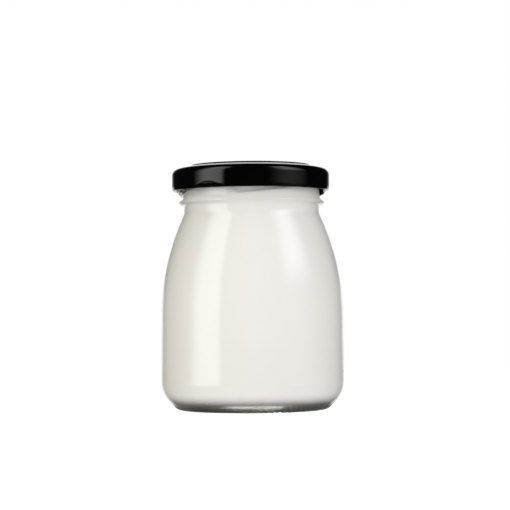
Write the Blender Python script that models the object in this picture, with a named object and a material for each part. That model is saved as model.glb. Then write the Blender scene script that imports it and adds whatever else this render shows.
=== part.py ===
"""A small glass food jar, shut with a metal twist-off lid and full of thick white cream.

The jar stands on z = 0 with its axis on +Z, and its front faces -Y. Lengths are in metres and
angles in degrees. Each piece is an outline of (radius, height) points turned about the axis.
The glass also carries four short screw threads, and the lid four lugs that are pressed inwards
from its rolled bottom edge and hook under the threads.
"""

import math

import bmesh
import bpy
import numpy as np

# Shared by all pieces
SEGMENTS = 56
GAP = 0.0003
SMOOTH_BELOW = 40
MERGE_WITHIN = 0.000001

# Glass, from the foot up
PUSH_UP = 0.0016
BEARING_WIDTH = 0.0016
FOOT_ROUND = 0.0041
CHAMFER = 45
HEEL_ROUND = 0.011
BODY_RADIUS = 0.0354
SIDE_TAPER = 0.6
SHOULDER_START = 0.0362
SHOULDER_ROUND = 0.095
NECK_RADIUS = 0.02613
NECK_FILLET = 0.003
BEAD_UNDERSIDE = 0.0790
BEAD_RADIUS = 0.0281
BEAD_ROUND = 0.00075
BEAD_FILLET = 0.0007
BEAD_SLOPE = 45
FINISH_RADIUS = 0.0266
LIP_HEIGHT = 0.0927
LIP_ROUND = 0.0009

# Glass, inside
WALL = 0.0023
BORE_RADIUS = 0.0241
BORE_FILLET = 0.005
CAVITY_HEEL_ROUND = 0.0035
FLOOR_HEIGHT = 0.0041
FLOOR_CROWN = 0.0008

# Four right-handed threads, each a quarter of a turn after the last
THREADS = 4
THREAD_START = -17
THREAD_SPAN = 85
THREAD_FLAT = 9
THREAD_LOW = 0.0824
THREAD_RISE = 0.12
THREAD_REACH = 0.0018
THREAD_CREST = 0.0013
THREAD_CORNER = 0.0004
THREAD_FLANK = 0.001
THREAD_ROOT = 0.001
THREAD_STEPS = 14
THREAD_BLUNT = 0.5
THREAD_RUN_IN = 4
THREAD_RUN_OUT = 12

# Lid
SHEET = 0.0003
LID_RADIUS = 0.03045
LID_BOTTOM = 0.0843
CURL_ROUND = 0.00075
LID_SHIFT = -0.0003
LID_SHOULDER_ROUND = 0.0026
LID_SHOULDER_HEIGHT = 0.09035
LID_SLOPE = 12.3
STEP_RADIUS = 0.0233
PANEL_EDGE_RADIUS = 0.0231
PANEL_TOP = 0.09435
PANEL_DROP = 0.0006
PANEL_DROP_RADIUS = 0.0202
BUTTON_RADIUS = 0.0085
BUTTON_RISE = 0.0003
BUTTON_EDGE = 0.0009
LUG_ANGLE = 58
LUG_RADIUS = 0.0272
LUG_HEIGHT = 0.0008
LUG_LOW = 0.0845
LUG_HALF_WIDTH = 6
LUG_RAMP = 6

# Cream
CREAM_LEVEL = 0.087
CREAM_EDGE_ROUND = 0.0008


def arc(centre, radius, start, end, steps):
    """Points along a circle, with angles in degrees from the direction of growing radius."""
    angles = np.radians(np.linspace(start, end, steps + 1))
    return np.column_stack(
        [centre[0] + radius * np.cos(angles), centre[1] + radius * np.sin(angles)]
    )


def crown(edge, rise, steps):
    """A shallow dome from the axis down to the edge point, as parabola points."""
    share = np.linspace(0, 1, steps + 1)
    return np.column_stack([edge[0] * share, edge[1] + rise * (1 - share**2)])


def outline(*stretches):
    """Joins points and rows of points into one line, leaving out repeated neighbours."""
    points = np.vstack([np.atleast_2d(stretch) for stretch in stretches])
    step = np.linalg.norm(np.diff(points, axis=0), axis=1)
    return points[np.concatenate([[True], step > MERGE_WITHIN])]


def inset(line, distance):
    """The line moved by distance to its left, each point along the mean normal of its sides."""
    direction = np.diff(line, axis=0)
    direction /= np.linalg.norm(direction, axis=1)[:, None]
    normal = np.column_stack([-direction[:, 1], direction[:, 0]])
    joined = np.vstack([normal[:1], normal[:-1] + normal[1:], normal[-1:]])
    joined /= np.linalg.norm(joined, axis=1)[:, None]
    before = np.vstack([normal[:1], normal])
    stretch = distance / np.sum(joined * before, axis=1)
    return line + joined * stretch[:, None]


def material(name, colour, roughness, transmission=0.0):
    """A Principled material in the piece's own colour."""
    made = bpy.data.materials.new(name)
    made.use_nodes = True
    shader = made.node_tree.nodes["Principled BSDF"]
    shader.inputs["Base Color"].default_value = (*colour, 1)
    shader.inputs["Roughness"].default_value = roughness
    shader.inputs["Metallic"].default_value = 0
    shader.inputs["Transmission Weight"].default_value = transmission
    return made


def put_in_scene(name, mesh_maker, finish):
    """Turns a bmesh into a named object with one smooth-shaded material."""
    mesh = bpy.data.meshes.new(name)
    mesh_maker.to_mesh(mesh)
    mesh_maker.free()
    mesh.shade_smooth()
    mesh.set_sharp_from_angle(angle=math.radians(SMOOTH_BELOW))
    mesh.materials.append(finish)
    made = bpy.data.objects.new(name, mesh)
    bpy.context.scene.collection.objects.link(made)
    return made


def turned(line):
    """A closed body: the line, which starts and ends on the axis, spun through a full turn."""
    body = bmesh.new()
    points = [body.verts.new((radius, 0, height)) for radius, height in line]
    edges = [body.edges.new(pair) for pair in zip(points, points[1:])]
    bmesh.ops.spin(
        body,
        geom=points + edges,
        cent=(0, 0, 0),
        axis=(0, 0, 1),
        angle=math.tau,
        steps=SEGMENTS,
        use_merge=True,
    )
    bmesh.ops.remove_doubles(body, verts=body.verts, dist=MERGE_WITHIN)
    bmesh.ops.recalc_face_normals(body, faces=body.faces)
    return body


def shoulder_arc(line_radius, fillet, straight_radius, steps, fillet_steps):
    """The long shoulder curve, and the fillet that eases it into the straight wall above."""
    taper = math.radians(SIDE_TAPER)
    side_drop = (SHOULDER_START - HEEL_ROUND) * math.tan(taper)
    centre = (
        BODY_RADIUS - side_drop - SHOULDER_ROUND * math.cos(taper),
        SHOULDER_START - SHOULDER_ROUND * math.sin(taper),
    )
    reach = line_radius + fillet
    end = math.degrees(math.acos((straight_radius + fillet - centre[0]) / reach))
    fillet_centre = (
        straight_radius + fillet,
        centre[1] + reach * math.sin(math.radians(end)),
    )
    return outline(
        arc(centre, line_radius, SIDE_TAPER, end, steps),
        arc(fillet_centre, fillet, 180 + end, 180, fillet_steps),
    )


def heel_outline():
    """The foot: a flat bearing ring, a small round, a chamfer and the big heel curve."""
    centre = (BODY_RADIUS - HEEL_ROUND, HEEL_ROUND)
    heel = arc(centre, HEEL_ROUND, -CHAMFER, SIDE_TAPER, 5)
    chamfer_foot = heel[0][0] - heel[0][1] / math.tan(math.radians(CHAMFER))
    flat_edge = chamfer_foot - FOOT_ROUND * math.tan(math.radians(CHAMFER / 2))
    return outline(
        crown((flat_edge - BEARING_WIDTH, 0), PUSH_UP, 3),
        arc((flat_edge, FOOT_ROUND), FOOT_ROUND, -90, -90 + CHAMFER, 3),
        heel,
    )


def bead_outline():
    """The ring below the threads: a flat underside, a round nose and a sloping top."""
    nose = (BEAD_RADIUS - BEAD_ROUND, BEAD_UNDERSIDE + BEAD_ROUND)
    nose_arc = arc(nose, BEAD_ROUND, -90, BEAD_SLOPE, 4)
    slope_height = (nose_arc[-1][0] - FINISH_RADIUS) * math.tan(math.radians(BEAD_SLOPE))
    fillet = (NECK_RADIUS + BEAD_FILLET, BEAD_UNDERSIDE - BEAD_FILLET)
    return outline(
        arc(fillet, BEAD_FILLET, 180, 90, 2),
        nose_arc,
        (FINISH_RADIUS, nose_arc[-1][1] + slope_height),
    )


def lip_outline():
    """The mouth's rim, rounded outside and inside."""
    height = LIP_HEIGHT - LIP_ROUND
    return outline(
        arc((FINISH_RADIUS - LIP_ROUND, height), LIP_ROUND, 0, 90, 2),
        arc((BORE_RADIUS + LIP_ROUND, height), LIP_ROUND, 90, 180, 2),
    )


def cavity_outline(clearance=0.0):
    """The inner face from the bore down to the floor's centre, or a line inside it."""
    shoulder = shoulder_arc(
        SHOULDER_ROUND - WALL - clearance,
        BORE_FILLET + clearance,
        BORE_RADIUS - clearance,
        6,
        2,
    )
    side_foot = BODY_RADIUS - WALL - clearance
    heel_round = CAVITY_HEEL_ROUND - clearance
    centre = (side_foot - heel_round, FLOOR_HEIGHT + CAVITY_HEEL_ROUND)
    heel = arc(centre, heel_round, SIDE_TAPER, -90, 5)
    return outline(shoulder[::-1], heel, crown(heel[-1], FLOOR_CROWN, 3)[::-1])


def thread(number):
    """One thread: a blunt wedge swept up a helix, fading into the wall at its upper end."""
    wedge = (
        (-THREAD_ROOT, -THREAD_FLANK / 2),
        (THREAD_REACH - THREAD_CORNER, 0),
        (THREAD_REACH, THREAD_CORNER),
        (THREAD_REACH, THREAD_CREST),
        (THREAD_REACH - THREAD_CORNER, THREAD_CREST + THREAD_CORNER),
        (-THREAD_ROOT, THREAD_CREST + THREAD_CORNER + THREAD_FLANK),
    )
    body = bmesh.new()
    loops = []
    for turn in np.linspace(0, THREAD_SPAN, THREAD_STEPS + 1):
        angle = math.radians(THREAD_START + number * 360 / THREADS + turn)
        climbed = math.radians(max(0, turn - THREAD_FLAT)) * FINISH_RADIUS * THREAD_RISE
        fade = min(1, THREAD_BLUNT + turn / THREAD_RUN_IN, (THREAD_SPAN - turn) / THREAD_RUN_OUT)
        loop = []
        for reach, rise in wedge:
            radius = FINISH_RADIUS + (reach * fade if reach > 0 else reach)
            spot = (radius * math.sin(angle), -radius * math.cos(angle), THREAD_LOW + climbed + rise)
            loop.append(body.verts.new(spot))
        loops.append(loop)
    for low, high in zip(loops, loops[1:]):
        for i in range(len(wedge)):
            body.faces.new((low[i - 1], low[i], high[i], high[i - 1]))
    body.faces.new(loops[0])
    body.faces.new(loops[-1])
    bmesh.ops.recalc_face_normals(body, faces=body.faces)
    return body


def make_glass():
    """The jar itself, with its threads joined on."""
    finish = material("clear_glass", (0.93, 0.96, 0.94), 0.03, transmission=1.0)
    shoulder = shoulder_arc(SHOULDER_ROUND, NECK_FILLET, NECK_RADIUS, 7, 2)
    line = outline(
        heel_outline(), shoulder, bead_outline(), lip_outline(), cavity_outline()
    )
    jar = put_in_scene("glass_jar", turned(line), finish)
    helpers = bpy.data.collections.new("thread_shapes")
    bpy.context.scene.collection.children.link(helpers)
    for number in range(THREADS):
        shape = put_in_scene(f"thread_shape_{number + 1}", thread(number), finish)
        bpy.context.scene.collection.objects.unlink(shape)
        helpers.objects.link(shape)
        shape.hide_render = True
        shape.display_type = "WIRE"
    union = jar.modifiers.new("threads", "BOOLEAN")
    union.operation = "UNION"
    union.operand_type = "COLLECTION"
    union.collection = helpers
    union.solver = "EXACT"
    return jar


def lid_top_outline():
    """The lid's upper face from its centre out: button, panel, small step, slope and shoulder."""
    panel = PANEL_TOP - PANEL_DROP
    centre = (LID_RADIUS - LID_SHOULDER_ROUND, LID_SHOULDER_HEIGHT)
    shoulder = arc(centre, LID_SHOULDER_ROUND, 90 - LID_SLOPE, 0, 4)
    slope_run = shoulder[0][0] - STEP_RADIUS
    step_foot = shoulder[0][1] + slope_run * math.tan(math.radians(LID_SLOPE))
    return outline(
        (0, panel + BUTTON_RISE),
        (BUTTON_RADIUS - BUTTON_EDGE, panel + BUTTON_RISE),
        (BUTTON_RADIUS, panel),
        (PANEL_DROP_RADIUS, panel),
        (PANEL_DROP_RADIUS + PANEL_DROP, PANEL_TOP),
        (PANEL_EDGE_RADIUS, PANEL_TOP),
        (STEP_RADIUS, step_foot),
        shoulder,
    )


def press_lugs(body):
    """Pulls the inner half of the rolled edge inwards and flat, at four places."""
    middle = LID_RADIUS - CURL_ROUND
    curl_middle = LID_BOTTOM + CURL_ROUND
    full_reach = middle - CURL_ROUND - LUG_RADIUS
    quarter = 360 / THREADS
    for point in body.verts:
        radius = math.hypot(point.co.x, point.co.y)
        if radius > middle or point.co.z > curl_middle + CURL_ROUND:
            continue
        turn = math.degrees(math.atan2(point.co.x, -point.co.y)) - LUG_ANGLE
        away = abs((turn + quarter / 2) % quarter - quarter / 2)
        press = min(max((LUG_HALF_WIDTH + LUG_RAMP - away) / LUG_RAMP, 0), 1)
        press *= (middle - radius) / CURL_ROUND
        moved = radius - press * full_reach
        height = LUG_LOW + LUG_HEIGHT / 2
        height += (point.co.z - curl_middle) / CURL_ROUND * LUG_HEIGHT / 2
        point.co.x *= moved / radius
        point.co.y *= moved / radius
        point.co.z += press * (height - point.co.z)


def make_lid():
    """The lid: thin sheet, with a rolled bottom edge and its four lugs. It sits a little to the
    left, within the play of its threads."""
    finish = material("black_lacquer", (0.006, 0.006, 0.007), 0.16)
    top = lid_top_outline()
    curl = (LID_RADIUS - CURL_ROUND, LID_BOTTOM + CURL_ROUND)
    skirt_side = math.degrees(math.acos(1 - SHEET / CURL_ROUND))
    inner = inset(top, -SHEET)
    inner[0][0] = 0
    line = outline(top, arc(curl, CURL_ROUND, 0, skirt_side - 360, 8), inner[::-1])
    body = turned(line)
    press_lugs(body)
    bmesh.ops.translate(body, verts=body.verts, vec=(LID_SHIFT, 0, 0))
    return put_in_scene("lid", body, finish)


def make_cream():
    """The cream that fills the jar up to a level behind the lid."""
    finish = material("white_cream", (0.84, 0.81, 0.76), 0.45)
    inside = cavity_outline(GAP)
    below = inside[inside[:, 1] < CREAM_LEVEL - CREAM_EDGE_ROUND]
    edge = (BORE_RADIUS - GAP - CREAM_EDGE_ROUND, CREAM_LEVEL - CREAM_EDGE_ROUND)
    line = outline((0, CREAM_LEVEL), arc(edge, CREAM_EDGE_ROUND, 90, 0, 2), below)
    return put_in_scene("contents", turned(line), finish)


for old in list(bpy.data.objects):
    bpy.data.objects.remove(old)
make_glass()
make_lid()
make_cream()
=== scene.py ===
# %% [markdown]
# # A glass jar of cream
#
# This lesson dresses a imported model of a small glass jar with a black twist-off lid. The packed
# model holds plain solids of the right size. Here each of them is replaced by a finely turned
# surface with a material of its own, and the jar is lit as in a photographer's studio. Lengths
# are in metres and angles in degrees, unless a name says otherwise.
#
# The first step loads those solids as a fixed frame. The boxes that they fill give the jar's
# main sizes further on.

# %% Load the frame
import math

import bpy
import numpy as np
from mathutils import Matrix, Vector


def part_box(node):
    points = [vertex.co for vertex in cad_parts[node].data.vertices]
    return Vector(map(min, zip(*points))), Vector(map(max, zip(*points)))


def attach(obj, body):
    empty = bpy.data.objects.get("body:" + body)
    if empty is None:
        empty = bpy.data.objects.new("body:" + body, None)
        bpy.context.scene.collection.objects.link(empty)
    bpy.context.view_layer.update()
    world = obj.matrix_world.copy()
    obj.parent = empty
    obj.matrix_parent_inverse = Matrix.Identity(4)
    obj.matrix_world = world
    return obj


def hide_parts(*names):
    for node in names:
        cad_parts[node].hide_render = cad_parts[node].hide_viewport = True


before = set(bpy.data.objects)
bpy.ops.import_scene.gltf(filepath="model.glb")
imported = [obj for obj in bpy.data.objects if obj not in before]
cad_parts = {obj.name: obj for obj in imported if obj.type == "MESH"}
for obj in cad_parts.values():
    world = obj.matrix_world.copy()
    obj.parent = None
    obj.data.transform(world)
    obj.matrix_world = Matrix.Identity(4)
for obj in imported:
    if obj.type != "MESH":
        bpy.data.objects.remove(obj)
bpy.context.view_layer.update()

print("nodes:", sorted(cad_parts))

# %% [markdown]
# ## The camera
#
# The picture was taken with a long lens from just below the middle of the jar, so the lid is
# seen a little from below and the foot a little from above. The camera could be aimed with a
# constraint, but a rotation built from three directions also holds the slight roll.

# %% Set up the camera
CAMERA_DISTANCE = 0.697
CAMERA_HEIGHT = 0.0391
CAMERA_PITCH = math.radians(1.687)
CAMERA_YAW = math.radians(0.099)
CAMERA_ROLL = math.radians(0.42)
SENSOR_WIDTH_MM = 36
LENS_MM = 127.06

camera_data = bpy.data.cameras.new("camera")
camera_data.sensor_width = SENSOR_WIDTH_MM
camera_data.lens = LENS_MM
camera = bpy.data.objects.new("camera", camera_data)
bpy.context.scene.collection.objects.link(camera)
bpy.context.scene.camera = camera

forward = Vector(
    (
        math.sin(CAMERA_YAW) * math.cos(CAMERA_PITCH),
        math.cos(CAMERA_YAW) * math.cos(CAMERA_PITCH),
        math.sin(CAMERA_PITCH),
    )
)
leaning_up = Vector((math.sin(CAMERA_ROLL), 0, math.cos(CAMERA_ROLL)))
right = forward.cross(leaning_up).normalized()
up = right.cross(forward)
turn = Matrix((right, up, -forward)).transposed().to_4x4()
camera.matrix_world = Matrix.Translation((0, -CAMERA_DISTANCE, CAMERA_HEIGHT)) @ turn
bpy.context.scene.view_settings.view_transform = "Standard"
print("camera at", tuple(round(v, 4) for v in camera.location))

# %% [markdown]
# ## Materials as sums
#
# A shader tree is easier to read as a sum than as a page of nodes. The small class below wraps
# a socket, so that an ordinary Python expression adds the Math nodes. Every other node comes
# from one method, which sets the node's own settings before it fills its sockets.

# %% Wrap sockets and materials


class Value:
    """A number that varies over a surface. Arithmetic on it adds Math nodes."""

    def __init__(self, finish, socket):
        self.finish = finish
        self.socket = socket

    def maths(self, operation, *parts):
        return self.finish.add("ShaderNodeMath", {"operation": operation}, dict(enumerate(parts)))

    def __add__(self, other):
        return self.maths("ADD", self, other)

    def __sub__(self, other):
        return self.maths("SUBTRACT", self, other)

    def __rsub__(self, other):
        return self.maths("SUBTRACT", other, self)

    def __mul__(self, other):
        return self.maths("MULTIPLY", self, other)

    __radd__ = __add__
    __rmul__ = __mul__

    def absolute(self):
        return self.maths("ABSOLUTE", self)

    def at_least(self, other):
        return self.maths("MAXIMUM", self, other)

    def at_most(self, other):
        return self.maths("MINIMUM", self, other)


class Finish:
    """The shader of a material, light or world under construction."""

    def __init__(self, owner):
        self.owner = owner
        owner.use_nodes = True
        self.tree = owner.node_tree
        self.tree.nodes.clear()

    def add(self, kind, settings=None, inputs=None, output=0):
        """Adds a node: its settings first, then its sockets from values or other nodes."""
        node = self.tree.nodes.new(kind)
        for key, value in (settings or {}).items():
            setattr(node, key, value)
        for key, value in (inputs or {}).items():
            if isinstance(value, Value):
                self.tree.links.new(value.socket, node.inputs[key])
            else:
                node.inputs[key].default_value = value
        return Value(self, node.outputs[output]) if node.outputs else None

    def noise(self, size, detail):
        """Soft noise from 0 to 1 with patches of about size metres, on Object coordinates."""
        place = self.add("ShaderNodeTexCoord", output="Object")
        sockets = {"Vector": place, "Scale": 1 / size, "Detail": detail}
        return self.add("ShaderNodeTexNoise", {"noise_dimensions": "3D"}, sockets)

    def bump(self, height, distance):
        """A normal tilted by a height from 0 to 1 that stands for distance metres."""
        sockets = {"Height": height, "Strength": 1.0, "Distance": distance}
        return self.add("ShaderNodeBump", None, sockets)

    def mix(self, share, first, second):
        """A colour between two others."""
        sockets = {"Factor": share, 6: first, 7: second}
        return self.add("ShaderNodeMix", {"data_type": "RGBA"}, sockets, output=2)

    def ramp(self, value, low, high):
        """0 below low, 1 above high, and a smooth rise between them."""
        sockets = {"Value": value, "From Min": low, "From Max": high}
        return self.add("ShaderNodeMapRange", {"interpolation_type": "SMOOTHSTEP"}, sockets)

    def band(self, value, low, high, low_edge, high_edge):
        """1 between low and high, with soft edges of the given widths inside them."""
        rise = self.ramp(value, low, low + low_edge)
        return rise * (1 - self.ramp(value, high - high_edge, high))

    def axis(self, vector, number):
        """One of the three numbers of a vector."""
        return self.add("ShaderNodeSeparateXYZ", None, {0: vector}, output=number)

    def unscattered(self):
        """1 for what the eye sees directly, in a mirror or through glass, and 0 for light that
        falls on something matt."""
        return 1 - self.add("ShaderNodeLightPath", output="Diffuse Depth").at_most(1)

    def finish_with(self, surface, volume=None, kind="Material"):
        """Connects the surface, and what fills the body, to the output."""
        links = {"Surface": surface}
        if volume is not None:
            links["Volume"] = volume
        self.add("ShaderNodeOutput" + kind, None, links)
        return self.owner


print("material helpers ready")

# %% [markdown]
# ## The studio
#
# Gloss and matt ask for different lights. A mirror shows the shape of a light, and a matt face
# shows only how much of it arrives. One set of lights could do both, but then each change to
# the shading of the cream would also change every reflection. So there are two sets.
#
# Two tall soft lights are seen only as mirror images in the glass and the lacquer: a bright
# upright band on the left, and a dim panel with a brighter spot on the right. Their brightness
# is painted across them in their shaders, in place of the cloth that softens a real one. They
# fade out at their feet, so that the lowest edge of the lid stays black.

# %% Make the tall lights
LIGHT_DISTANCE = 0.75
LIGHT_FOOT = -0.12
LIGHT_TOP = 1.45
FOOT_FADE = 0.09


def tall_light(name, bearing, width):
    """An upright rectangle of radiance 1 that faces the jar's axis. Its bearing is counted
    from the front and grows to the right. Power is radiance times pi times area."""
    height = LIGHT_TOP - LIGHT_FOOT
    light = bpy.data.lights.new(name, "AREA")
    light.shape = "RECTANGLE"
    light.size = width
    light.size_y = height
    light.energy = math.pi * width * height
    lamp = bpy.data.objects.new(name, light)
    bpy.context.scene.collection.objects.link(lamp)
    outwards = Vector((math.sin(math.radians(bearing)), -math.cos(math.radians(bearing)), 0))
    lamp.location = LIGHT_DISTANCE * outwards + Vector((0, 0, LIGHT_FOOT + height / 2))
    lamp.rotation_mode = "QUATERNION"
    lamp.rotation_quaternion = (-outwards).to_track_quat("-Z", "Y")
    lamp.visible_diffuse = False
    return lamp


def start_glow(lamp):
    """A tall light's shader, the share of its width towards greater bearings, and the height
    above the table."""
    glow = Finish(lamp.data)
    place = glow.add("ShaderNodeNewGeometry", output="Parametric")
    height = LIGHT_FOOT + (LIGHT_TOP - LIGHT_FOOT) * glow.axis(place, 1)
    return glow, glow.axis(place, 0), height


def end_glow(glow, height, strength):
    """Fades the strength out at the light's foot and closes its shader."""
    strength = strength * glow.ramp(height, LIGHT_FOOT, LIGHT_FOOT + FOOT_FADE)
    glow.finish_with(glow.add("ShaderNodeEmission", None, {"Strength": strength}), kind="Light")


print("tall lights reach from", LIGHT_FOOT, "to", LIGHT_TOP, "m")

# %% Paint the tall lights
# Each band holds its two ends and then its two soft edges, as shares of the light's width.
LEFT_GLOW = 2.8
LEFT_DOME = 2.2
LEFT_BAND = (0.0, 0.9, 0.42, 0.14)
RIGHT_GLOW = 0.52
RIGHT_BAND = (0.02, 0.92, 0.46, 0.44)
SPOT_GLOW = 2.4
SPOT_BAND = (0.2, 0.87, 0.28, 0.33)
SPOT_RISE = (0.17, 0.4)

left_light = tall_light("left_light", bearing=-61, width=0.866)
glow, across, height = start_glow(left_light)
dome = 1 - LEFT_DOME * ((across - 0.5) * (across - 0.5))
end_glow(glow, height, LEFT_GLOW * dome * glow.band(across, *LEFT_BAND))

right_light = tall_light("right_light", bearing=60, width=1.2)
glow, across, height = start_glow(right_light)
panel = glow.band(across, *RIGHT_BAND)
spot = glow.band(across, *SPOT_BAND) * glow.ramp(height, *SPOT_RISE)
end_glow(glow, height, RIGHT_GLOW * panel + SPOT_GLOW * spot)
print("tall lights:", left_light.name, right_light.name)

# %% [markdown]
# The cream and the table are lit by wide round lights instead: a warm one on each side, a cool
# one low at the front, and two behind that brighten the sides of the jar. They have no mirror
# image and can't be seen through the glass, as if black cards hid them. With multiple
# importance sampling off, Cycles aims rays at them and never meets them by chance.

# %% Make the round lights
ROUND_LIGHT_WIDTH = 0.8
AIM = Vector((0, 0, 0.05))


def round_light(name, place, radiance, colour):
    """A round light that faces the jar. Power is radiance times pi times area."""
    light = bpy.data.lights.new(name, "AREA")
    light.shape = "DISK"
    light.size = ROUND_LIGHT_WIDTH
    light.energy = radiance * math.pi * math.pi * (ROUND_LIGHT_WIDTH / 2) ** 2
    light.color = colour
    light.cycles.use_multiple_importance_sampling = False
    lamp = bpy.data.objects.new(name, light)
    bpy.context.scene.collection.objects.link(lamp)
    lamp.location = place
    lamp.rotation_mode = "QUATERNION"
    lamp.rotation_quaternion = (AIM - Vector(place)).to_track_quat("-Z", "Y")
    lamp.visible_glossy = False
    lamp.visible_transmission = False
    print(name, "at", place)


round_light("left_fill", (-1.1, -0.62, 0.26), 2.15, (1.0, 0.965, 0.82))
round_light("right_fill", (1.1, -0.62, 0.26), 0.9, (1.0, 0.95, 0.86))
round_light("left_rim", (-1.2, 0.3, 0.45), 1.0, (1.0, 0.97, 0.88))
round_light("right_rim", (1.2, 0.3, 0.45), 0.75, (1.0, 0.985, 0.96))
round_light("low_fill", (0.45, -1.1, 0.15), 4.4, (0.965, 0.985, 1.0))

# %% [markdown]
# The paper behind the jar is the world's own colour. It could be a curved sheet of paper, but
# then it would only serve one view. The camera sees white wherever it looks past the jar or
# through its glass. A mirror shows the white only behind the jar, with its upper sides shaded,
# and a dark room everywhere else.

# %% Make the paper and the dark room
ROOM_GREY = 0.012
PAPER_EDGE = (0.86, 0.94)
PAPER_TOP = (0.45, 0.65)
SIDE_SHADE = 0.8
SIDE_SHADE_START = (0.15, 0.3)
SIDE_SHADE_RISE = (0.02, 0.07)


def paper_and_room():
    """The world by direction: its second number says how far behind the jar a ray points, its
    first how far aside, and its third how far up."""
    studio = Finish(bpy.data.worlds.new("studio"))
    direction = studio.add("ShaderNodeTexCoord", output="Generated")
    aside = studio.ramp(studio.axis(direction, 0).absolute(), *SIDE_SHADE_START)
    aside = aside * studio.ramp(studio.axis(direction, 2), *SIDE_SHADE_RISE)
    paper = studio.ramp(studio.axis(direction, 1), *PAPER_EDGE) * (1 - SIDE_SHADE * aside)
    paper = paper * (1 - studio.ramp(studio.axis(direction, 2), *PAPER_TOP))
    by_eye = studio.add("ShaderNodeLightPath", output="Is Camera Ray")
    by_glass = studio.add("ShaderNodeLightPath", output="Is Transmission Ray")
    white = by_eye.at_least(by_glass * studio.unscattered()).at_least(paper)
    strength = white * (1 - ROOM_GREY) + ROOM_GREY
    grey = studio.add("ShaderNodeBackground", None, {"Color": (1, 1, 1, 1), "Strength": strength})
    return studio.finish_with(grey, kind="World")


bpy.context.scene.world = paper_and_room()
print("world:", bpy.context.scene.world.name)

# %% [markdown]
# ## Outlines
#
# Everything here was turned or moulded round one axis, so each piece starts as an outline of
# (radius, height) points. Modelling with a Screw modifier would do for plain shapes, but threads,
# knurls and lugs vary round the turn. So the outline is spun by a function instead, and another
# function can push each point in or out along the outline's normal.

# %% Draw outlines
SAME_PLACE = 1e-7


def arc(centre, radius, start, end, steps):
    """Points (r, z) = centre + radius * (cos a, sin a), for angles from start to end."""
    angles = np.radians(np.linspace(start, end, steps + 1))
    return np.column_stack(
        [centre[0] + radius * np.cos(angles), centre[1] + radius * np.sin(angles)]
    )


def straight(start, end, steps):
    """Points evenly spaced from start to end."""
    share = np.linspace(0, 1, steps + 1)[:, None]
    return np.array(start) * (1 - share) + np.array(end) * share


def crown(edge, rise, steps):
    """A shallow dome from the axis to the edge: height = edge + rise * (1 - share squared)."""
    share = np.linspace(0, 1, steps + 1)
    return np.column_stack([edge[0] * share, edge[1] + rise * (1 - share**2)])


def outline(*stretches):
    """Joins stretches of points into one line without repeated neighbours."""
    points = np.vstack([np.atleast_2d(stretch) for stretch in stretches])
    step = np.linalg.norm(np.diff(points, axis=0), axis=1)
    return points[np.concatenate([[True], step > SAME_PLACE])]


def normals(line):
    """Unit normals on the right of the line's direction: outwards, where it runs upwards."""
    along = np.gradient(line, axis=0)
    along /= np.linalg.norm(along, axis=1)[:, None]
    return np.column_stack([along[:, 1], -along[:, 0]])


print("a quarter circle in 3 steps:", arc((0, 0), 1, 0, 90, 3).round(3).tolist())

# %% Spin outlines into rings


def smooth(value, low, high):
    """0 below low, 1 above high, and an S-shaped rise 3t^2 - 2t^3 between them."""
    t = np.clip((value - low) / (high - low), 0, 1)
    return t * t * (3 - 2 * t)


def spin(line, columns, relief=None):
    """Rings of points: (r sin a, -r cos a, z) for angles a round the axis from the front. A
    relief(line, degrees) moves each point outwards along the line's normal by that much."""
    degrees = np.arange(columns) * 360 / columns
    radius = np.repeat(line[:, :1], columns, axis=1)
    height = np.repeat(line[:, 1:], columns, axis=1)
    if relief is not None:
        out = normals(line)
        moved = relief(line, degrees)
        radius = radius + out[:, :1] * moved
        height = height + out[:, 1:] * moved
    angle = np.radians(degrees)
    return np.stack([radius * np.sin(angle), -radius * np.cos(angle), height], axis=2)


print("one ring of 4 points:", spin(np.array([[1.0, 0.5]]), 4).round(3).tolist())

# %% [markdown]
# Rings become a mesh face by face. Where a fine form meets a plain one, a ring may have twice
# the points of the next, and five-sided faces join the two, so that no edge is left open. An
# end that lies on the axis closes in a single point.

# %% Join rings into a piece


def ring_faces(low, high, low_first, high_first):
    """Faces between two rings of low and high points, which start at the given numbers. Equal
    rings are joined by quads, a pole by triangles, and a ring of twice the other's points by
    five-sided faces."""
    fewer = min(low, high)
    j = np.arange(fewer if fewer > 1 else max(low, high))
    k = (j + 1) % len(j)
    if low == high:
        return np.column_stack([low_first + j, low_first + k, high_first + k, high_first + j])
    if low == 1:
        return np.column_stack([np.full(high, low_first), high_first + k, high_first + j])
    if high == 1:
        return np.column_stack([low_first + j, low_first + k, np.full(low, high_first)])
    if high == 2 * low:
        fine = [high_first + (2 * j + n) % high for n in (2, 1, 0)]
        return np.column_stack([low_first + j, low_first + k, *fine])
    fine = [low_first + (2 * j + n) % low for n in (0, 1, 2)]
    return np.column_stack([*fine, high_first + k, high_first + j])


def piece(name, bands, material, node):
    """Makes a piece from bands of rings, from the outline's start to its end. Rings of the
    first and last band that lie on the axis become single points."""
    rings = [ring for band in bands for ring in band]
    for end in (0, -1):
        if np.ptp(rings[end][:, 0]) < SAME_PLACE:
            rings[end] = rings[end][:1]
    first = np.cumsum([0] + [len(ring) for ring in rings])
    faces = []
    for i in range(len(rings) - 1):
        faces += ring_faces(len(rings[i]), len(rings[i + 1]), first[i], first[i + 1]).tolist()
    mesh = bpy.data.meshes.new(name)
    mesh.from_pydata(np.vstack(rings).tolist(), [], faces)
    mesh.shade_smooth()
    mesh.materials.append(material)
    made = bpy.data.objects.new(name, mesh)
    bpy.context.scene.collection.objects.link(made)
    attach(made, "root")
    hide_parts(node)
    triangles = sum(len(face) - 2 for face in faces)
    print(name, len(rings), "rings,", triangles, "triangles")


print("joining 8 points to 4 takes", len(ring_faces(8, 4, 0, 8)), "five-sided faces")

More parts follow.
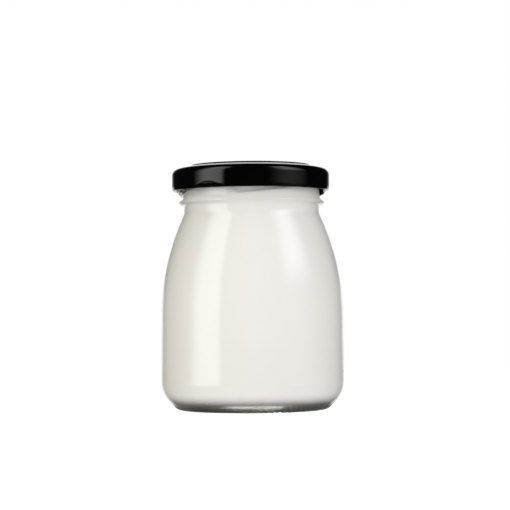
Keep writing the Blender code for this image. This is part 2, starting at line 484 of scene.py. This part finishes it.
# %% [markdown]
# ## The sizes of the glass
#
# The outline runs from the foot up the outside, over the mouth and down the inside to the
# floor. Its main sizes come from the frame, and the curves between them are those of the
# real mould: a chamfered heel, a barely tapered side and one long curve for the shoulder.

# %% Measure the frame
jar_low, jar_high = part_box("glass_jar")
lid_low, lid_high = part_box("lid")
cream_low, cream_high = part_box("contents")
BODY_RADIUS = jar_high.x
LIP_HEIGHT = jar_high.z
LID_RADIUS = (lid_high.x - lid_low.x) / 2
LID_BOTTOM = lid_low.z
PANEL_TOP = lid_high.z
CREAM_LEVEL = cream_high.z
print(f"body radius {BODY_RADIUS:.4f}, mouth at {LIP_HEIGHT:.4f}, lid radius {LID_RADIUS:.4f}")

# %% Name the glass's own sizes
PUSH_UP = 0.0016
BEARING_WIDTH = 0.0016
FOOT_ROUND = 0.0041
CHAMFER = 45
HEEL_ROUND = 0.011
SIDE_TAPER = 0.6
SHOULDER_START = 0.0362
SHOULDER_ROUND = 0.095
NECK_RADIUS = 0.02613
NECK_FILLET = 0.003
BEAD_UNDERSIDE = 0.0790
BEAD_RADIUS = 0.0281
BEAD_ROUND = 0.00075
BEAD_FILLET = 0.0007
FINISH_RADIUS = 0.0266
LIP_ROUND = 0.0009
WALL = 0.0023
BORE_RADIUS = 0.0241
BORE_FILLET = 0.005
CAVITY_HEEL_ROUND = 0.0035
FLOOR_HEIGHT = 0.0041
FLOOR_CROWN = 0.0008
print(f"wall at the mouth {FINISH_RADIUS - BORE_RADIUS:.4f}, at the side {WALL:.4f}")

# %% Draw the shoulder and the cavity


def shoulder_line(line_radius, fillet, straight_radius, steps, fillet_steps):
    """The long shoulder arc, which starts at the side's own slant, and the small arc that eases
    it into the upright wall above. The two circles touch where their centres and the meeting
    point lie on one line."""
    taper = math.radians(SIDE_TAPER)
    side_drop = (SHOULDER_START - HEEL_ROUND) * math.tan(taper)
    centre = (
        BODY_RADIUS - side_drop - SHOULDER_ROUND * math.cos(taper),
        SHOULDER_START - SHOULDER_ROUND * math.sin(taper),
    )
    reach = line_radius + fillet
    end = math.degrees(math.acos((straight_radius + fillet - centre[0]) / reach))
    top = (straight_radius + fillet, centre[1] + reach * math.sin(math.radians(end)))
    return outline(
        arc(centre, line_radius, SIDE_TAPER, end, steps),
        arc(top, fillet, 180 + end, 180, fillet_steps),
    )


def cavity_line(inside=0.0):
    """The cavity from its floor's centre up to the bore, moved inside by the given distance."""
    shoulder = shoulder_line(
        SHOULDER_ROUND - WALL - inside, BORE_FILLET + inside, BORE_RADIUS - inside, 24, 6
    )
    heel_round = CAVITY_HEEL_ROUND - inside
    centre = (BODY_RADIUS - WALL - inside - heel_round, FLOOR_HEIGHT + CAVITY_HEEL_ROUND)
    heel = arc(centre, heel_round, -90, SIDE_TAPER, 16)
    floor = crown(heel[0], FLOOR_CROWN, 8)
    return outline(floor, heel, straight(heel[-1], shoulder[0], 6), shoulder)


print(len(cavity_line()), "points from the floor to the bore")

# %% [markdown]
# ## The screw threads
#
# A twist-off jar has four short threads in place of one long one. Each starts with a blunt end,
# runs level for a little way, climbs to the right, and fades into the wall. They could be swept
# bodies joined on by a Boolean, but glass shows every inner face, so they are made as relief in
# the one surface: the wall is pushed out wherever a point lies between a thread's two flanks.

# %% Shape the threads
THREADS = 4
THREAD_START = -17
THREAD_SPAN = 85
THREAD_FLAT = 9
THREAD_LOW = 0.0828
THREAD_RISE = 0.12
THREAD_REACH = 0.0018
THREAD_HEIGHT = 0.0017
LOWER_FLANK = 0.001
UPPER_FLANK = 0.0009
THREAD_RUN_IN = 3.0
THREAD_RUN_OUT = 12.0


def thread_relief(line, degrees):
    """How far the threads stand out. Height above a thread's lower edge picks the flanks, and
    the angle along it picks the blunt start and the fading end."""
    quarter = 360 / THREADS
    along = (degrees[None, :] - THREAD_START) % quarter
    climb = np.radians(np.maximum(along - THREAD_FLAT, 0)) * FINISH_RADIUS * THREAD_RISE
    above = line[:, 1:] - THREAD_LOW - climb
    flanks = smooth(above, -LOWER_FLANK, LOWER_FLANK / 4)
    flanks = flanks * (1 - smooth(above, THREAD_HEIGHT, THREAD_HEIGHT + UPPER_FLANK))
    start_slant = THREAD_RUN_IN * (1 - np.clip(above / THREAD_HEIGHT, 0, 1))
    ends = smooth(along - start_slant, 0, THREAD_RUN_IN)
    ends = ends * (1 - smooth(along, THREAD_SPAN - THREAD_RUN_OUT, THREAD_SPAN))
    return THREAD_REACH * flanks * ends


print("threads start at", [THREAD_START + n * 360 // THREADS for n in range(THREADS)], "degrees")

# %% [markdown]
# ## The knurled foot
#
# The ring that a glass stands on is stippled with short slanting bars, so that the hot jar
# doesn't craze on the cooling belt. Seen through the thick glass, they show as small dark and
# bright strokes along the foot. A Displace modifier could cut them, but the spun rings take a
# second relief just as well. The bars are left standing at full height and the grooves between
# them are cut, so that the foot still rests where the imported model's does.

# %% Shape the knurls
BARS = 80
BAR_DEPTH = 0.0006
BAR_INNER = 0.0250
BAR_OUTER = 0.0311
BAR_EDGE = 0.0007
BAR_SLANT = 9
BAR_FLANK = (0.25, 0.95)


def knurl_relief(line, degrees):
    """Grooves between bars: a rounded wave round the ring, slanted by radius, and faded out at
    the ring's inner and outer edge. A bar's flank falls between two levels of the wave."""
    radius = line[:, :1]
    slant = BAR_SLANT * (radius - BAR_INNER) / (BAR_OUTER - BAR_INNER)
    wave = 0.5 - 0.5 * np.cos(np.radians((degrees[None, :] + slant) * BARS))
    inner = smooth(radius, BAR_INNER, BAR_INNER + BAR_EDGE)
    outer = 1 - smooth(radius, BAR_OUTER - BAR_EDGE, BAR_OUTER)
    return -BAR_DEPTH * smooth(wave, *BAR_FLANK) * inner * outer


print(f"one bar every {2 * math.pi * BAR_INNER / BARS:.4f} m at the ring's inner edge")

# %% [markdown]
# ## Clear glass
#
# Clear jar glass is almost colourless, and only a long way through it, as in the foot, turns
# it a little green and grey. That is a volume's work: it takes light away by length. The
# surface is smooth but not flat, because a mould leaves faint waves, which bend reflections.
#
# Lamps don't shine through a glass shader in a ray tracer without much noise, so a Mix Shader
# lets the rays that look for lamps pass as through a plain pane.

# %% Make the glass finish
GLASS_IOR = 1.52
WAVE = 0.014
RIPPLE = 0.0035
RIPPLE_SHARE = 0.2
WAVE_DEPTH = 0.00003
SMUDGE = 0.009
SMUDGE_ROUGHNESS = 0.02
LAMP_PASS = 0.96
TINT = (0.72, 0.83, 0.58, 1)
TINT_DENSITY = 22.0


def clear_glass():
    """Transmission with faint mould waves and a weak green-grey absorption."""
    finish = Finish(bpy.data.materials.new("clear_glass"))
    waves = finish.noise(WAVE, 1.0)
    ripples = finish.noise(RIPPLE, 2.0)
    smudges = finish.noise(SMUDGE, 4.0)
    uneven = waves * (1 - RIPPLE_SHARE) + ripples * RIPPLE_SHARE
    glass = finish.add(
        "ShaderNodeBsdfPrincipled",
        None,
        {
            "Base Color": (1, 1, 1, 1),
            "Roughness": smudges * SMUDGE_ROUGHNESS,
            "IOR": GLASS_IOR,
            "Transmission Weight": 1.0,
            "Normal": finish.bump(uneven, WAVE_DEPTH),
        },
    )
    passed = (LAMP_PASS, LAMP_PASS, LAMP_PASS, 1)
    pane = finish.add("ShaderNodeBsdfTransparent", None, {"Color": passed})
    lamp_ray = finish.add("ShaderNodeLightPath", output="Is Shadow Ray")
    surface = finish.add("ShaderNodeMixShader", None, {0: lamp_ray, 1: glass, 2: pane})
    tint = {"Color": TINT, "Density": TINT_DENSITY}
    return finish.finish_with(surface, finish.add("ShaderNodeVolumeAbsorption", None, tint))


glass_finish = clear_glass()
print("made", glass_finish.name)

# %% [markdown]
# ## The jar
#
# One line holds the whole glass. The underside is a shallow dome that ends in the flat ring, a
# chamfer and the big round of the heel follow, and above the neck come the bead, the threaded
# wall and the lip. Each stretch could be an object of its own, but light bends at every
# surface of glass, so there must be none inside it. The rings of the foot and of the threads
# are finer than the rest, because their relief needs it.

# %% Draw the foot and the bead


def foot_line():
    """The underside's dome, the flat ring, the chamfer and the heel."""
    centre = (BODY_RADIUS - HEEL_ROUND, HEEL_ROUND)
    heel = arc(centre, HEEL_ROUND, -CHAMFER, SIDE_TAPER, 16)
    chamfer_foot = heel[0][0] - heel[0][1] / math.tan(math.radians(CHAMFER))
    flat_edge = chamfer_foot - FOOT_ROUND * math.tan(math.radians(CHAMFER / 2))
    foot = arc((flat_edge, FOOT_ROUND), FOOT_ROUND, -90, -90 + CHAMFER, 8)
    dome = crown((flat_edge - BEARING_WIDTH, 0), PUSH_UP, 40)
    bearing = straight(dome[-1], foot[0], 6)
    return outline(dome, bearing, foot, straight(foot[-1], heel[0], 4), heel)


def bead_line():
    """The bead: a small fillet below, a flat underside, a round nose and a slanting top."""
    nose = (BEAD_RADIUS - BEAD_ROUND, BEAD_UNDERSIDE + BEAD_ROUND)
    nose_arc = arc(nose, BEAD_ROUND, -90, CHAMFER, 12)
    top = (FINISH_RADIUS, nose_arc[-1][1] + nose_arc[-1][0] - FINISH_RADIUS)
    fillet = (NECK_RADIUS + BEAD_FILLET, BEAD_UNDERSIDE - BEAD_FILLET)
    return outline(arc(fillet, BEAD_FILLET, 180, 90, 6), nose_arc, straight(nose_arc[-1], top, 4))


foot = foot_line()
bead = bead_line()
print(len(foot), "points in the foot and", len(bead), "in the bead")

# %% Build the jar
COARSE = 256
FINE = 512
FINEST = 1024
THREADS_SHOW_TO = LID_BOTTOM + 0.001

knurled = (foot[:, 0] > BAR_INNER - BAR_EDGE) & (foot[:, 0] < BAR_OUTER + BAR_EDGE)
start, end = np.flatnonzero(knurled)[[0, -1]]
shoulder = shoulder_line(SHOULDER_ROUND, NECK_FILLET, NECK_RADIUS, 26, 6)
side = straight(foot[-1], shoulder[0], 8)[1:-1]
lip_base = LIP_HEIGHT - LIP_ROUND
thread_top = (FINISH_RADIUS, THREADS_SHOW_TO)
finish_wall = outline(
    straight(bead[-1], thread_top, 38), straight(thread_top, (FINISH_RADIUS, lip_base), 12)
)[1:]
lip = outline(
    arc((FINISH_RADIUS - LIP_ROUND, lip_base), LIP_ROUND, 0, 90, 6)[1:],
    arc((BORE_RADIUS + LIP_ROUND, lip_base), LIP_ROUND, 90, 180, 6),
)
piece(
    "jar_glass",
    [
        spin(foot[: start - 1], COARSE),
        spin(foot[start - 1 : start], FINE),
        spin(foot[start:end], FINEST, knurl_relief),
        spin(foot[end : end + 1], FINE),
        spin(outline(foot[end + 1 :], side, shoulder, bead), COARSE),
        spin(finish_wall, FINE, thread_relief),
        spin(outline(lip, cavity_line()[::-1]), COARSE),
    ],
    glass_finish,
    "glass_jar",
)

# %% [markdown]
# ## The cream
#
# What touches glass has no air in front of it. If the cream stopped short of the wall, a second
# reflection would show, so its surface reaches a tenth of a millimetre into the glass and hides
# the cavity's own wall. Subsurface scattering would be the usual choice for cream, but behind
# glass it is slow and noisy, and cream this thick looks matt anyway. It isn't one flat white
# either: it is faintly warm, and mottled where fat and whey have parted a little.

# %% Make the cream's finish
CREAM_DARK = (0.84, 0.808, 0.81, 1)
CREAM_LIGHT = (0.88, 0.85, 0.855, 1)
CREAM_ROUGHNESS = 0.4
CLOUD = 0.018
CLOUD_ROUGHNESS = 0.2
SPECK = 0.0016
SPECK_SHARE = 0.3
SPECK_DEPTH = 0.00002


def white_cream():
    """A warm white with faint clouds in colour and gloss."""
    finish = Finish(bpy.data.materials.new("white_cream"))
    clouds = finish.noise(CLOUD, 3.0)
    specks = finish.noise(SPECK, 2.0)
    mottled = clouds * (1 - SPECK_SHARE) + specks * SPECK_SHARE
    cream = finish.add(
        "ShaderNodeBsdfPrincipled",
        None,
        {
            "Base Color": finish.mix(mottled, CREAM_DARK, CREAM_LIGHT),
            "Roughness": CREAM_ROUGHNESS + clouds * CLOUD_ROUGHNESS,
            "Specular IOR Level": 0.0,
            "Normal": finish.bump(specks, SPECK_DEPTH),
        },
    )
    return finish.finish_with(cream)


cream_finish = white_cream()
print("made", cream_finish.name)

# %% Build the cream
CREAM_OVERLAP = 0.0001
CREAM_EDGE = 0.0008

inside = cavity_line(-CREAM_OVERLAP)
inside = inside[inside[:, 1] < CREAM_LEVEL - CREAM_EDGE]
level_edge = (inside[-1][0] - CREAM_EDGE, CREAM_LEVEL - CREAM_EDGE)
rounded_edge = arc(level_edge, CREAM_EDGE, 0, 90, 6)
level = crown(rounded_edge[-1], 0, 8)[::-1]
piece(
    "jar_cream",
    [spin(outline(inside, rounded_edge, level), COARSE)],
    cream_finish,
    "contents",
)

# %% [markdown]
# ## The lid
#
# The lid is pressed from tinplate a fifth of a millimetre thick. A Solidify modifier could give
# it that thickness, but the rolled edge needs an outline of its own anyway. So the outline goes
# once round the sheet: out along the inside of the panel, down the skirt, round the roll and
# back up the outside.

# %% Name the lid's sizes
SHEET = 0.0002
LID_SHIFT = -0.0003
CURL_ROUND = 0.00075
ROLL_END = -300
LID_SHOULDER_ROUND = 0.0026
LID_SHOULDER_HEIGHT = 0.09035
LID_SLOPE = 12.3
STEP_RADIUS = 0.0233
STEP_ROUND = 0.00012
PANEL_EDGE_RADIUS = 0.0231
PANEL_DROP = 0.0006
PANEL_DROP_RADIUS = 0.0204
BUTTON_RADIUS = 0.0085
BUTTON_RISE = 0.0003
BUTTON_EDGE = 0.0009
print(f"the lid is {PANEL_TOP - LID_BOTTOM:.4f} high")

# %% Draw the lid's faces and roll


def lid_face():
    """From the centre out: button, panel, its small step, the slope, the shoulder, the skirt."""
    panel = PANEL_TOP - PANEL_DROP
    shoulder = (LID_RADIUS - LID_SHOULDER_ROUND, LID_SHOULDER_HEIGHT)
    rounded = arc(shoulder, LID_SHOULDER_ROUND, 90 - LID_SLOPE, 0, 20)
    run = rounded[0][0] - STEP_RADIUS
    step_foot = (STEP_RADIUS, rounded[0][1] + run * math.tan(math.radians(LID_SLOPE)))
    step_top = (PANEL_EDGE_RADIUS, PANEL_TOP - STEP_ROUND)
    button = BUTTON_RADIUS - BUTTON_EDGE
    return outline(
        straight((0, panel + BUTTON_RISE), (button, panel + BUTTON_RISE), 6),
        straight((button, panel + BUTTON_RISE), (BUTTON_RADIUS, panel), 4),
        straight((BUTTON_RADIUS, panel), (PANEL_DROP_RADIUS, panel), 8),
        straight((PANEL_DROP_RADIUS, panel), (PANEL_DROP_RADIUS + PANEL_DROP, PANEL_TOP), 4),
        arc((PANEL_EDGE_RADIUS - STEP_ROUND, PANEL_TOP - STEP_ROUND), STEP_ROUND, 90, 0, 5),
        straight(step_top, step_foot, 3),
        straight(step_foot, rounded[0], 10)[1:],
        rounded,
        straight(rounded[-1], (LID_RADIUS, LID_BOTTOM + CURL_ROUND), 26),
    )


face = lid_face()
under = face + normals(face) * SHEET
roll_centre = (LID_RADIUS - CURL_ROUND, LID_BOTTOM + CURL_ROUND)
roll = outline(
    arc(roll_centre, CURL_ROUND - SHEET, 0, ROLL_END, 20),
    arc(roll_centre, CURL_ROUND, ROLL_END, 0, 28),
)
print(len(under), "points inside,", len(roll), "in the roll and", len(face), "outside")

# %% [markdown]
# ## What the press does to the skirt
#
# At four places the roll is pressed inwards and flat, which makes the lugs that grip the
# threads. That also draws in the bottom of the skirt, in the shape of a shallow arch above each
# lug, and the roll leaves a slight slant above itself all round. Both catch the light as fine
# bright lines. A Shrinkwrap or a lattice could bend the sheet, but two short functions on the
# rings say the same in numbers.

# %% Press the lugs and arches
LUG_ANGLE = 58
LUG_RADIUS = 0.0272
LUG_HEIGHT = 0.0008
LUG_LOW = 0.0845
LUG_HALF_WIDTH = 6
LUG_RAMP = 6
ARCH_HALF_WIDTH = 14
ARCH_HEIGHT = 0.0028
ARCH_DEPTH = 0.0005
ARCH_RIM = 0.2
TUCK_HEIGHT = 0.0014
TUCK = 0.00012


def radius_and_degrees(rings):
    """Distance from the axis, and degrees round it from the front, of every point."""
    degrees = np.degrees(np.arctan2(rings[..., 0], -rings[..., 1]))
    return np.hypot(rings[..., 0], rings[..., 1]), degrees


def away_from_lug(degrees):
    """Degrees round the axis to the nearest lug."""
    quarter = 360 / THREADS
    return np.abs((degrees - LUG_ANGLE + quarter / 2) % quarter - quarter / 2)


def press_lugs(rings):
    """Pulls the inner half of the roll inwards and flat near each lug."""
    radius, degrees = radius_and_degrees(rings)
    middle = LID_RADIUS - CURL_ROUND
    curl_middle = LID_BOTTOM + CURL_ROUND
    press = np.clip((LUG_HALF_WIDTH + LUG_RAMP - away_from_lug(degrees)) / LUG_RAMP, 0, 1)
    press = smooth(press, 0, 1) * np.clip((middle - radius) / CURL_ROUND, 0, 1)
    moved = radius - press * (middle - CURL_ROUND - LUG_RADIUS)
    height = rings[..., 2]
    flat = LUG_LOW + LUG_HEIGHT / 2 + (height - curl_middle) / CURL_ROUND * LUG_HEIGHT / 2
    return np.stack(
        [
            rings[..., 0] * moved / radius,
            rings[..., 1] * moved / radius,
            height + press * (flat - height),
        ],
        axis=2,
    )


def draw_in(rings):
    """Draws the skirt in: by a slight slant just above the roll, and in a shallow arch above
    each lug, which is deepest at the roll and gone at its rim. The roll moves as a whole."""
    radius, degrees = radius_and_degrees(rings)
    above = np.maximum(rings[..., 2] - LID_BOTTOM, CURL_ROUND)
    away = np.minimum(away_from_lug(degrees) / ARCH_HALF_WIDTH, 1)
    share = np.clip(1 - away**2 - above / ARCH_HEIGHT, 0, 1)
    tuck = np.clip((TUCK_HEIGHT - above) / (TUCK_HEIGHT - CURL_ROUND), 0, 1)
    inwards = ARCH_DEPTH * share * smooth(share, 0, ARCH_RIM) + TUCK * tuck
    scale = 1 - inwards / np.maximum(radius, SHEET)
    return np.stack([rings[..., 0] * scale, rings[..., 1] * scale, rings[..., 2]], axis=2)


print("lugs at", [LUG_ANGLE + n * 360 // THREADS for n in range(THREADS)], "degrees")

# %% [markdown]
# ## Black lacquer
#
# Gloss black is almost nothing but mirror image, so its own colour hardly counts, and its
# surface does. Lacquer dries with a faint skin like an orange's, and it is never quite evenly
# glossy. Metal under a coat would be closer to how it is made, but looks the same when the
# coat is black.

# %% Make the lacquer
LACQUER_DARK = (0.0006, 0.0006, 0.0007, 1)
LACQUER_LIGHT = (0.0014, 0.0014, 0.0015, 1)
LACQUER_IOR = 1.42
PEEL = 0.0012
PEEL_DEPTH = 0.000004
HAZE = 0.012
HAZE_ROUGHNESS = 0.05


def black_lacquer():
    """Gloss black with a faint orange peel and slightly uneven gloss."""
    finish = Finish(bpy.data.materials.new("black_lacquer"))
    peel = finish.noise(PEEL, 2.0)
    haze = finish.noise(HAZE, 3.0)
    lacquer = finish.add(
        "ShaderNodeBsdfPrincipled",
        None,
        {
            "Base Color": finish.mix(haze, LACQUER_DARK, LACQUER_LIGHT),
            "Roughness": HAZE_ROUGHNESS + haze * HAZE_ROUGHNESS,
            "IOR": LACQUER_IOR,
            "Normal": finish.bump(peel, PEEL_DEPTH),
        },
    )
    return finish.finish_with(lacquer)


lacquer_finish = black_lacquer()
print("made", lacquer_finish.name)

# %% Build the lid
LID_COLUMNS = 360


def seated(rings):
    """Draws the skirt in, and moves the lid a little to the left within its threads' play."""
    return draw_in(rings) + np.array([LID_SHIFT, 0, 0])


piece(
    "jar_lid",
    [
        seated(spin(under[:-1], LID_COLUMNS)),
        seated(press_lugs(spin(roll, LID_COLUMNS))),
        seated(spin(face[::-1][1:], LID_COLUMNS)),
    ],
    lacquer_finish,
    "lid",
)

# %% [markdown]
# ## The table
#
# A round of plain pale board carries the jar. It is a stage and no part of the object. The jar
# stands as if cut out on white, without a shadow, which a lit board can't give. So the board
# glows. It is white for the eye, directly or through glass. For light that falls on the cream
# it glows less, and more at the front than behind.
#
# Next to the foot the board gives the cream no light at all, and its colour there is painted
# black as a painted contact shadow, which leaves the dark band along the jar's lowest edge. The
# thick glass of the foot also gathers light from the front, which a ray tracer would need
# caustics for. Two short bright stretches of board, just inside the foot ring, stand in for it
# as painted light.

# %% Name the table's sizes and glow
TABLE_RADIUS = 0.6
TABLE_FADE = 0.25
TABLE_SIDES = 128
TABLE_WHITE = 1.1
WHITE_FROM = (0.0268, 0.0282)
CREAM_GLOW = 0.36
CREAM_FRONT_GLOW = 0.56
SHADE_RING = (0.0303, 0.0352)
GATHERED = 8.0
GATHERED_RING = (0.0236, 0.0262, 0.001, 0.001)
GATHERED_MIDDLE = 0.04
GATHERED_REACH = math.sin(math.radians(25))
GATHERED_EDGES = (0.08, 0.1)
BOARD_DARK = (0.84, 0.84, 0.83, 1)
BOARD_LIGHT = (0.88, 0.88, 0.875, 1)
BOARD_GRAIN = 0.02
print("the board is white from", WHITE_FROM[1], "m outwards")

# %% Make the table


def pale_board():
    """Matt white with a very faint unevenness, painted black next to the foot as a painted
    contact shadow, glowing as told above, and gone at its rim.
    """
    finish = Finish(bpy.data.materials.new("pale_board"))
    place = finish.add("ShaderNodeTexCoord", output="Object")
    away = finish.add("ShaderNodeVectorMath", {"operation": "LENGTH"}, {0: place}, output=1)
    aim = finish.add("ShaderNodeVectorMath", {"operation": "NORMALIZE"}, {0: place})
    front = finish.ramp(-1 * finish.axis(aim, 1), 0.0, 1.0)
    # Painted shade: next to the foot the board is black and gives no glow, a painted contact shadow.
    unshaded = finish.ramp(away, *SHADE_RING)
    for_cream = (CREAM_GLOW + CREAM_FRONT_GLOW * front) * unshaded
    for_eye = finish.ramp(away, *WHITE_FROM) * TABLE_WHITE
    glow = for_cream + finish.unscattered() * (for_eye - for_cream)
    # Painted light: bright board inside the foot ring stands in for light gathered by the foot.
    sideways = (finish.axis(aim, 0) - GATHERED_MIDDLE).absolute()
    fan = finish.band(sideways, 0.0, GATHERED_REACH, *GATHERED_EDGES) * front
    gathered = finish.band(away, *GATHERED_RING) * fan
    grain = finish.mix(finish.noise(BOARD_GRAIN, 3.0), BOARD_DARK, BOARD_LIGHT)
    board = finish.add(
        "ShaderNodeBsdfPrincipled",
        None,
        {
            "Base Color": finish.mix(unshaded, (0, 0, 0, 1), grain),
            "Roughness": 0.7,
            "Emission Color": (1, 1, 1, 1),
            "Emission Strength": glow + gathered * GATHERED,
        },
    )
    clear = finish.add("ShaderNodeBsdfTransparent")
    fade = finish.ramp(away, TABLE_FADE, TABLE_RADIUS)
    return finish.finish_with(finish.add("ShaderNodeMixShader", None, {0: fade, 1: board, 2: clear}))


around = arc((0, 0), TABLE_RADIUS, 0, 360, TABLE_SIDES)[:-1]
corners = np.column_stack([around, np.zeros(TABLE_SIDES)])
table_mesh = bpy.data.meshes.new("table")
table_mesh.from_pydata(corners.tolist(), [], [list(range(TABLE_SIDES))])
table_mesh.materials.append(pale_board())
table = bpy.data.objects.new("table", table_mesh)
bpy.context.scene.collection.objects.link(table)
table.visible_glossy = False
print("table of", TABLE_SIDES, "sides")
